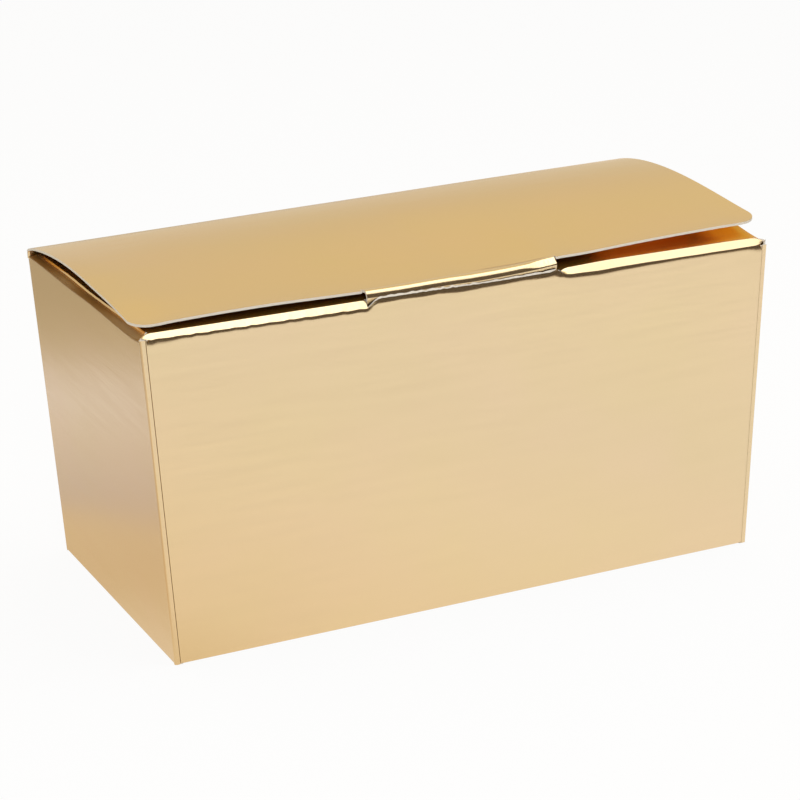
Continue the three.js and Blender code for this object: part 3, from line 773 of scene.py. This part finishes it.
def build_tongue():
    """The tongue, with its fold tight at the left and crushed to a facet at the right. Both lines
    of the fold have the same number of points, so that one can pass into the other."""
    turn = math.radians(75)
    tip = (2.05 - TONGUE_DROP * math.cos(turn), -1.15 - TONGUE_DROP * math.sin(turn), 0)
    line = fold_line([(0, 0, 0), (1.55, 0.1, 1.1), (2.05, -1.15, 0.4), tip], [2, 3, 22])
    loose = fold_line([(0, 0, 0), (0.7, 0.02, 0.4), (2.02, -1.08, 0.5), tip], [2, 3, 22])
    drop = -line[:, 1]
    middle, half = (TONGUE[0] + TONGUE[1]) / 2, (TONGUE[1] - TONGUE[0]) / 2
    side = half - 3 * np.clip((drop - 2) / (drop[-1] - 2), 0, 1)
    along = run_of(line)[:, 0]
    flare = TONGUE_FLARE * np.clip(1 - along / 1.3, 0, 1) ** 2
    side = rounded_end(side, along, along[-1], TONGUE_RADIUS) + flare
    columns = leaning(spread(-half, 44, half), side, 8)
    x = middle + columns
    crumpled = rising(x, 11, 4)
    ahead, drop = (
        tight[:, None] * (1 - crumpled) + slack[:, None] * crumpled
        for tight, slack in ((line[:, 0], loose[:, 0]), (-line[:, 1], -loose[:, 1]))
    )
    follow = lid_rise(x, TONGUE_CREASE) - lid_rise(x * 0, TONGUE_CREASE)
    height = HINGE_HEIGHT + lid_rise(middle + 0 * x, TONGUE_CREASE) - drop
    height = height + follow * falling(along, 2, 10)[:, None]
    y = HINGE_Y - TONGUE_CREASE - ahead
    skin = np.stack([x, y, height], -1)
    # The tongue's fold counts as creased: its film crumples and takes painted shade, most towards its
    # crushed right end.
    wear_and_shade = falling(along, 4, 1)[:, None] * (0.2 + 0.8 * rising(x, 9, 6))
    piece = card_piece(
        "tongue_card", skin, all_cells(skin), (x, 323 + along[:, None]), wear_and_shade,
        inside=BEHIND_TONGUE,
    )
    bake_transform(piece)
    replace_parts(piece, "lid_tongue")


# Finishes


class Finish:
    """The node tree of a material or a world, with short ways to add and join nodes."""

    def __init__(self, owner):
        self.owner = owner
        owner.use_nodes = True
        self.tree = owner.node_tree
        self.tree.nodes.clear()

    def add(self, kind, inputs=None, **settings):
        node = self.tree.nodes.new("ShaderNode" + kind)
        for key, value in settings.items():
            setattr(node, key, value)
        for key, value in (inputs or {}).items():
            if isinstance(value, bpy.types.NodeSocket):
                self.tree.links.new(value, node.inputs[key])
            else:
                node.inputs[key].default_value = value
        return node

    def attribute(self, name, socket="Fac"):
        return self.add("Attribute", attribute_name=name).outputs[socket]

    def math(self, operation, a, b=0.0):
        return self.add("Math", {0: a, 1: b}, operation=operation).outputs[0]

    def noise(self, place, stretch, detail=3.0, roughness=0.5):
        spot = self.add("Mapping", {"Vector": place, "Scale": stretch}).outputs[0]
        inputs = {"Vector": spot, "Scale": 1.0, "Detail": detail, "Roughness": roughness}
        return self.add("TexNoise", inputs).outputs["Fac"]

    def range(self, value, low, high, to_low=0.0, to_high=1.0):
        return self.add(
            "MapRange",
            {"Value": value, "From Min": low, "From Max": high, "To Min": to_low, "To Max": to_high},
        ).outputs[0]

    def mix(self, share, a, b):
        node = self.add("Mix", data_type="RGBA")
        for socket, value in ((node.inputs[0], share), (node.inputs[6], a), (node.inputs[7], b)):
            if isinstance(value, bpy.types.NodeSocket):
                self.tree.links.new(value, socket)
            else:
                socket.default_value = value
        return node.outputs[2]

    def ramp(self, value, shades):
        """Colours that change along a value, given as (value, colour) from low to high."""
        low, high = shades[0][0], shades[-1][0]
        node = self.add("ValToRGB", {"Fac": self.range(value, low, high)})
        elements = node.color_ramp.elements
        elements[0].color, elements[1].color = rgba(shades[0][1]), rgba(shades[-1][1])
        for at, colour in shades[1:-1]:
            elements.new((at - low) / (high - low)).color = rgba(colour)
        return node.outputs[0]

    def bump(self, strength, distance, height, below=None):
        inputs = {"Strength": strength, "Distance": distance, "Height": height}
        if below:
            inputs["Normal"] = below
        return self.add("Bump", inputs).outputs[0]

    def surface(self, shader, output="OutputMaterial"):
        self.tree.links.new(shader, self.add(output).inputs["Surface"])
        return self.owner


def material(name):
    return bpy.data.materials.get(name) or bpy.data.materials.new(name)


def rgba(colour):
    return (*colour, 1.0)


def gold_foil(settings):
    finish = Finish(material("gold_foil"))
    place = finish.attribute("board_place", "Vector")
    crease = finish.attribute("crease_wear_and_shade")
    clouds = finish.noise(place, (0.03, 0.035, 1), 2.0)
    streaks = finish.noise(place, (0.05, 0.7, 1), 4.0, 0.6)
    grain = finish.noise(place, (2.2, 3.4, 1), 3.0, 0.65)
    crumple = finish.noise(place, (0.9, 1.6, 1), 4.0, 0.6)
    cracks = finish.noise(place, (5.0, 1.3, 1), 2.0, 0.7)
    tint = finish.mix(
        finish.range(clouds, 0.35, 0.65), rgba(settings.foil_tint), rgba(settings.foil_warm_tint)
    )
    # Painted shade in the creases: through the crack pattern the film darkens towards dark brown where
    # the card is creased, standing for the shade of its folds; the crumpled bump and smoother film
    # there are the card's own.
    darker = finish.math("MULTIPLY", crease, finish.range(cracks, 0.5, 0.75, 0.0, 0.5))
    tint = finish.mix(darker, tint, (0.30, 0.17, 0.06, 1))
    # The deeper amber film of the card's inner face, with its orange specular tint and lower metallic;
    # on the flaps' skin under the lid it is painted shade of the gap there.
    deep_film_and_shade = finish.range(finish.add("SeparateXYZ", {0: place}).outputs[2], 149, 151)
    tint = finish.mix(deep_film_and_shade, tint, rgba(settings.foil_inner_and_shade_tint))
    # Dark brown dull film, partly real scuffing and partly painted shade: on the end strips it stands
    # for the lid's dark underside mirrored there, and on the lid it paints a darker line behind the
    # tongue.
    scuffed_and_shaded = finish.attribute("scuffed_and_shaded")
    tint = finish.mix(scuffed_and_shaded, tint, rgba(settings.scuff_and_shade_tint))
    dullness = settings.foil_roughness
    rough = finish.range(streaks, 0.3, 0.7, dullness - 0.04, dullness + 0.05)
    rough = finish.math("SUBTRACT", rough, finish.math("MULTIPLY", crease, 0.1))
    rough = finish.math("ADD", rough, finish.math("MULTIPLY", scuffed_and_shaded, 0.12))
    fine = finish.bump(1.0, 0.000004, grain)
    long = finish.bump(1.0, 0.000016, streaks, fine)
    folded = finish.bump(crease, 0.00003, crumple, long)
    metal = finish.range(deep_film_and_shade, 0, 1, 0.95, 0.84)
    shader = finish.add(
        "BsdfPrincipled",
        {
            "Base Color": tint,
            "Metallic": finish.math("SUBTRACT", metal, finish.math("MULTIPLY", scuffed_and_shaded, 0.5)),
            "Roughness": rough,
            "Specular Tint": finish.mix(deep_film_and_shade, (1, 1, 1, 1), (1, 0.75, 0.4, 1)),
            "Normal": folded,
        },
    )
    return finish.surface(shader.outputs[0])


def board_core(settings):
    finish = Finish(material("board_core"))
    place = finish.attribute("board_place", "Vector")
    fibres = finish.noise(place, (1.8, 1.8, 0.05), 5.0, 0.7)
    layers = finish.noise(place, (0.5, 6.0, 0.02), 3.0, 0.6)
    shaded = rgba([0.8 * c for c in settings.core_tint])
    colour = finish.mix(finish.range(fibres, 0.3, 0.7), shaded, rgba(settings.core_tint))
    bump = finish.bump(0.8, 0.00004, finish.math("ADD", fibres, layers))
    shader = finish.add(
        "BsdfPrincipled",
        {"Base Color": colour, "Roughness": finish.range(fibres, 0.3, 0.7, 0.75, 0.95), "Normal": bump},
    )
    return finish.surface(shader.outputs[0])


def dried_glue():
    finish = Finish(material("glue_film"))
    place = finish.add("TexCoord").outputs["Object"]
    swirl = finish.noise(place, (260, 260, 140), 3.0, 0.55)
    pits = finish.add("TexVoronoi", {"Vector": place, "Scale": 900.0}).outputs["Distance"]
    colour = finish.mix(finish.range(swirl, 0.3, 0.7), (0.80, 0.70, 0.48, 1), (0.88, 0.80, 0.62, 1))
    height = finish.math("ADD", swirl, finish.math("MULTIPLY", pits, 0.4))
    bump = finish.bump(0.7, 0.00005, height)
    shader = finish.add(
        "BsdfPrincipled",
        {"Base Color": colour, "Roughness": finish.range(pits, 0, 0.6, 0.4, 0.6), "Normal": bump},
    )
    return finish.surface(shader.outputs[0])


def card_materials():
    settings = bpy.context.scene.ballotin
    return [
        bpy.data.materials.get("gold_foil") or gold_foil(settings),
        bpy.data.materials.get("board_core") or board_core(settings),
    ]


# Stage


# What the foil mirrors of the floor, by metres behind and to the left of the box's middle: painted
# light and shade, darker behind the box on the left and far off to the front right, seen only in
# reflection while the floor itself shows white
FLOOR_SHADES = (
    (-0.95, (0.16, 0.12, 0.09)),
    (-0.60, (0.45, 0.38, 0.32)),
    (-0.35, (0.95, 0.94, 0.94)),
    (-0.25, (0.99, 0.99, 1.0)),
    (-0.11, (0.94, 0.94, 0.97)),
    (-0.05, (0.97, 0.94, 0.92)),
    (0.01, (0.95, 0.88, 0.78)),
    (0.058, (0.73, 0.59, 0.41)),
    (0.079, (0.74, 0.61, 0.44)),
    (0.09, (0.65, 0.57, 0.54)),
    (0.12, (0.75, 0.68, 0.64)),
    (0.14, (0.81, 0.77, 0.78)),
    (0.149, (0.79, 0.73, 0.72)),
    (0.17, (0.59, 0.505, 0.38)),
    (0.205, (0.50, 0.42, 0.30)),
    (0.30, (0.48, 0.41, 0.32)),
    (0.45, (0.75, 0.70, 0.62)),
    (0.70, (0.80, 0.76, 0.70)),
)


# What it mirrors of the room behind the box, by the sine of the angle above level
BACK_SHADES = (
    (-0.05, (0.78, 0.68, 0.50)),
    (0.10, (0.72, 0.63, 0.49)),
    (0.20, (0.725, 0.635, 0.49)),
    (0.30, (0.71, 0.61, 0.45)),
    (0.38, (0.735, 0.62, 0.42)),
    (0.45, (0.79, 0.67, 0.44)),
    (0.60, (0.80, 0.68, 0.42)),
    (0.90, (0.85, 0.76, 0.60)),
)


def floor_finish(settings):
    finish = Finish(material("studio_floor"))
    place = finish.add("TexCoord").outputs["Object"]
    across = finish.add("SeparateXYZ", {0: place})
    slant = finish.math(
        "ADD",
        finish.math("MULTIPLY", across.outputs[0], -0.83),
        finish.math("MULTIPLY", across.outputs[1], 0.56),
    )
    ramp = finish.ramp(slant, FLOOR_SHADES)
    seen = finish.add("LightPath")
    paper = finish.add("BsdfDiffuse", {"Color": rgba(settings.floor_tint)}).outputs[0]
    white = finish.add("Emission", {"Color": (1, 1, 1, 1), "Strength": 1.0}).outputs[0]
    # Glossy rays see the floor with the painted light and shade of FLOOR_SHADES instead of its white.
    mirrored = finish.add("Emission", {"Color": ramp, "Strength": 1.0}).outputs[0]
    shown = finish.add("MixShader", {0: 0.92, 1: paper, 2: white}).outputs[0]
    glossy = finish.math("MAXIMUM", seen.outputs["Is Glossy Ray"], seen.outputs["Is Transmission Ray"])
    plain = finish.add("MixShader", {0: seen.outputs["Is Camera Ray"], 1: paper, 2: shown}).outputs[0]
    shader = finish.add("MixShader", {0: glossy, 1: plain, 2: mirrored})
    return finish.surface(shader.outputs[0])


def build_floor(settings):
    mesh = bpy.data.meshes.new("studio_floor")
    reach = 3.0
    corners = [(-reach, -reach, 0), (reach, -reach, 0), (reach, reach, 0), (-reach, reach, 0)]
    mesh.from_pydata([(x, y, z - 0.00002) for x, y, z in corners], [], [(0, 1, 2, 3)])
    mesh.materials.append(floor_finish(settings))
    floor = bpy.data.objects.new("studio_floor", mesh)
    bpy.context.scene.collection.objects.link(floor)


def build_sky(settings):
    """A pale room: white overhead, warm behind the box, darker where the camera stands."""
    world = bpy.data.worlds.new("studio_room")
    bpy.context.scene.world = world
    sky = Finish(world)
    direction = sky.add("TexCoord").outputs["Generated"]
    parts = sky.add("SeparateXYZ", {0: direction})
    behind = sky.range(parts.outputs[1], -0.35, 0.3)
    high = sky.range(parts.outputs[2], 0.8, 0.95)
    back = sky.ramp(parts.outputs[2], BACK_SHADES)
    flagged = sky.add("VectorMath", {0: direction, 1: (0.46, -0.86, 0.22)}, operation="DOT_PRODUCT")
    flagged = sky.range(flagged.outputs["Value"], 0.8, 0.93)
    shade = settings.room_shade
    front = sky.mix(flagged, (shade, 0.95 * shade, 0.88 * shade, 1), (0.08, 0.06, 0.045, 1))
    around = sky.mix(behind, front, back)
    colour = sky.mix(high, around, (0.95, 0.95, 0.95, 1))
    seen = sky.add("LightPath").outputs["Is Camera Ray"]
    colour = sky.mix(seen, colour, (1, 1, 1, 1))
    light = sky.add("Background", {"Color": colour, "Strength": 1.0}).outputs[0]
    sky.surface(light, "OutputWorld")


def build_softbox(settings):
    add_softbox("overhead_softbox", (0.22, -0.12, 0.55), 0.5, settings.softbox)
    fill = add_softbox("front_fill", (-0.35, -0.9, 0.5), 0.5, settings.fill)
    fill.visible_glossy = False


def add_softbox(name, place, size, brightness):
    """A square light that faces the box, seen as a plain panel of that brightness."""
    light = bpy.data.lights.new(name, "AREA")
    light.shape = "SQUARE"
    light.size = size
    light.energy = brightness * math.pi * size**2
    lamp = bpy.data.objects.new(name, light)
    lamp.location = place
    lamp.rotation_euler = Vector(place).to_track_quat("Z", "Y").to_euler()
    bpy.context.scene.collection.objects.link(lamp)
    return lamp


def build_camera(settings):
    camera = bpy.data.cameras.new("photo_camera")
    camera.sensor_width = 36.0
    camera.lens = settings.lens
    yaw, pitch, roll = (math.radians(a) for a in (-25.102, 18.109, -1.576))
    back = Vector((math.sin(yaw) * math.cos(pitch), -math.cos(yaw) * math.cos(pitch), math.sin(pitch)))
    right = (-back).cross(Vector((0, 0, 1))).normalized()
    up = right.cross(-back)
    rolled_right = math.cos(roll) * right + math.sin(roll) * up
    rolled_up = -math.sin(roll) * right + math.cos(roll) * up
    turn = Matrix((rolled_right, rolled_up, back)).transposed().to_4x4()
    place = Vector((0.03, 0.0, 30.3)) * MM + back * 0.43948
    holder = bpy.data.objects.new("photo_camera", camera)
    holder.matrix_world = Matrix.Translation(place) @ turn
    bpy.context.scene.collection.objects.link(holder)
    bpy.context.scene.camera = holder


# Settings, operators and panel


COLOUR = {"size": 3, "min": 0, "max": 1, "subtype": "COLOR"}


class BallotinSettings(bpy.types.PropertyGroup):
    board: FloatProperty(
        name="Board", description="Thickness of the card", default=BOARD * MM, min=0.0001,
        max=0.002, subtype="DISTANCE", unit="LENGTH", precision=5,
    )
    foil_tint: FloatVectorProperty(
        name="Foil", description="Colour of the metallised film", default=(0.845, 0.66, 0.385),
        **COLOUR,
    )
    foil_warm_tint: FloatVectorProperty(
        name="Foil clouds", description="Colour of the film's warmer clouds",
        default=(0.855, 0.655, 0.40), **COLOUR,
    )
    # The inner tint is also laid on the flaps' skin under the lid as painted shade.
    foil_inner_and_shade_tint: FloatVectorProperty(
        name="Foil inside", description="Colour of the film on the inner face of the card",
        default=(0.82, 0.45, 0.085), **COLOUR,
    )
    # The scuffing tint also stands as painted shade on the end strips, mirrored from under the lid.
    scuff_and_shade_tint: FloatVectorProperty(
        name="Foil scuffs", description="Colour of the film where it is rubbed dull",
        default=(0.30, 0.165, 0.048), **COLOUR,
    )
    foil_roughness: FloatProperty(
        name="Foil roughness", description="How soft the film's reflections are", default=0.2,
        min=0, max=1, subtype="FACTOR",
    )
    core_tint: FloatVectorProperty(
        name="Core", description="Colour of the board at its raw edges",
        default=(0.85, 0.79, 0.70), **COLOUR,
    )
    floor_tint: FloatVectorProperty(
        name="Floor", description="Colour of the studio floor", default=(0.9, 0.9, 0.9), **COLOUR,
    )
    room_shade: FloatProperty(
        name="Room", description="Brightness of the room on the camera's side", default=0.4,
        min=0, max=1, subtype="FACTOR",
    )
    softbox: FloatProperty(
        name="Softbox", description="Brightness of the softbox overhead", default=1.3, min=0, max=20,
    )
    fill: FloatProperty(
        name="Fill", description="Brightness of the light in front, which the foil doesn't mirror",
        default=4.5, min=0, max=20,
    )
    lens: FloatProperty(
        name="Lens", description="Focal length of the camera", default=102.14, min=1, max=500,
        subtype="DISTANCE_CAMERA", unit="CAMERA",
    )


def finished(build):
    build()
    return {"FINISHED"}


class BALLOTIN_OT_base(bpy.types.Operator):
    """Build the base panel"""

    bl_idname = "ballotin.base"
    bl_label = "Base"

    def execute(self, context):
        return finished(build_base)


class BALLOTIN_OT_front_wall(bpy.types.Operator):
    """Build the front wall with the raw lip along its slit"""

    bl_idname = "ballotin.front_wall"
    bl_label = "Front wall"

    def execute(self, context):
        return finished(build_front_wall)


class BALLOTIN_OT_back_wall(bpy.types.Operator):
    """Build the back wall up to the lid's hinge"""

    bl_idname = "ballotin.back_wall"
    bl_label = "Back wall"

    def execute(self, context):
        return finished(build_back_wall)


class BALLOTIN_OT_end_walls(bpy.types.Operator):
    """Build the two end walls"""

    bl_idname = "ballotin.end_walls"
    bl_label = "End walls"

    def execute(self, context):
        for seed, name in enumerate(("left", "right"), 4):
            build_end_wall(name, seed)
        return {"FINISHED"}


class BALLOTIN_OT_corner_webs(bpy.types.Operator):
    """Build the folded webs at the four corners, which make the beads"""

    bl_idname = "ballotin.corner_webs"
    bl_label = "Corner webs"

    def execute(self, context):
        corners = [(end, wall) for end in ("left", "right") for wall in ("front", "back")]
        for seed, (end, wall) in enumerate(corners):
            build_corner(end, wall, 10 + 2 * seed)
        return {"FINISHED"}


class BALLOTIN_OT_front_flap(bpy.types.Operator):
    """Build the front wall's crease strips and the flap behind them"""

    bl_idname = "ballotin.front_flap"
    bl_label = "Front flap"

    def execute(self, context):
        return finished(build_front_flap)


class BALLOTIN_OT_end_flaps(bpy.types.Operator):
    """Build the flaps that fold in off the end walls"""

    bl_idname = "ballotin.end_flaps"
    bl_label = "End flaps"

    def execute(self, context):
        for seed, name in enumerate(("left", "right"), 4):
            build_end_flap(name, seed)
        return {"FINISHED"}


class BALLOTIN_OT_lid(bpy.types.Operator):
    """Build the bowed lid"""

    bl_idname = "ballotin.lid"
    bl_label = "Lid"

    def execute(self, context):
        return finished(build_lid)


class BALLOTIN_OT_tongue(bpy.types.Operator):
    """Build the lid's tuck tongue"""

    bl_idname = "ballotin.tongue"
    bl_label = "Tongue"

    def execute(self, context):
        return finished(build_tongue)


class BALLOTIN_OT_glue_lines(bpy.types.Operator):
    """Finish the four glue lines that hold the corners"""

    bl_idname = "ballotin.glue_lines"
    bl_label = "Glue lines"

    def execute(self, context):
        film = dried_glue()
        for name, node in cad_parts.items():
            if name.endswith("glue_line"):
                node.data.materials.clear()
                node.data.materials.append(film)
        return {"FINISHED"}


class BALLOTIN_OT_stage(bpy.types.Operator):
    """Set up the floor, the room, the softbox and the camera"""

    bl_idname = "ballotin.stage"
    bl_label = "Stage"

    def execute(self, context):
        settings = context.scene.ballotin
        for build in (build_floor, build_sky, build_softbox, build_camera):
            build(settings)
        context.scene.view_settings.view_transform = "Standard"
        return {"FINISHED"}


OPERATORS = (
    BALLOTIN_OT_stage,
    BALLOTIN_OT_base,
    BALLOTIN_OT_front_wall,
    BALLOTIN_OT_back_wall,
    BALLOTIN_OT_end_walls,
    BALLOTIN_OT_corner_webs,
    BALLOTIN_OT_front_flap,
    BALLOTIN_OT_end_flaps,
    BALLOTIN_OT_lid,
    BALLOTIN_OT_tongue,
    BALLOTIN_OT_glue_lines,
)


class BALLOTIN_PT_build(bpy.types.Panel):
    bl_idname = "BALLOTIN_PT_build"
    bl_label = "Ballotin"
    bl_space_type = "VIEW_3D"
    bl_region_type = "UI"
    bl_category = "Ballotin"

    def draw(self, context):
        for name in BallotinSettings.__annotations__:
            self.layout.prop(context.scene.ballotin, name)
        for operator in OPERATORS:
            self.layout.operator(operator.bl_idname)


CLASSES = (BallotinSettings, *OPERATORS, BALLOTIN_PT_build)


def register():
    for item in CLASSES:
        bpy.utils.register_class(item)
    bpy.types.Scene.ballotin = PointerProperty(type=BallotinSettings)


def unregister():
    del bpy.types.Scene.ballotin
    for item in reversed(CLASSES):
        bpy.utils.unregister_class(item)


def main():
    register()
    for operator in OPERATORS:
        group, name = operator.bl_idname.split(".")
        getattr(getattr(bpy.ops, group), name)()


if __name__ == "__main__":
    main()
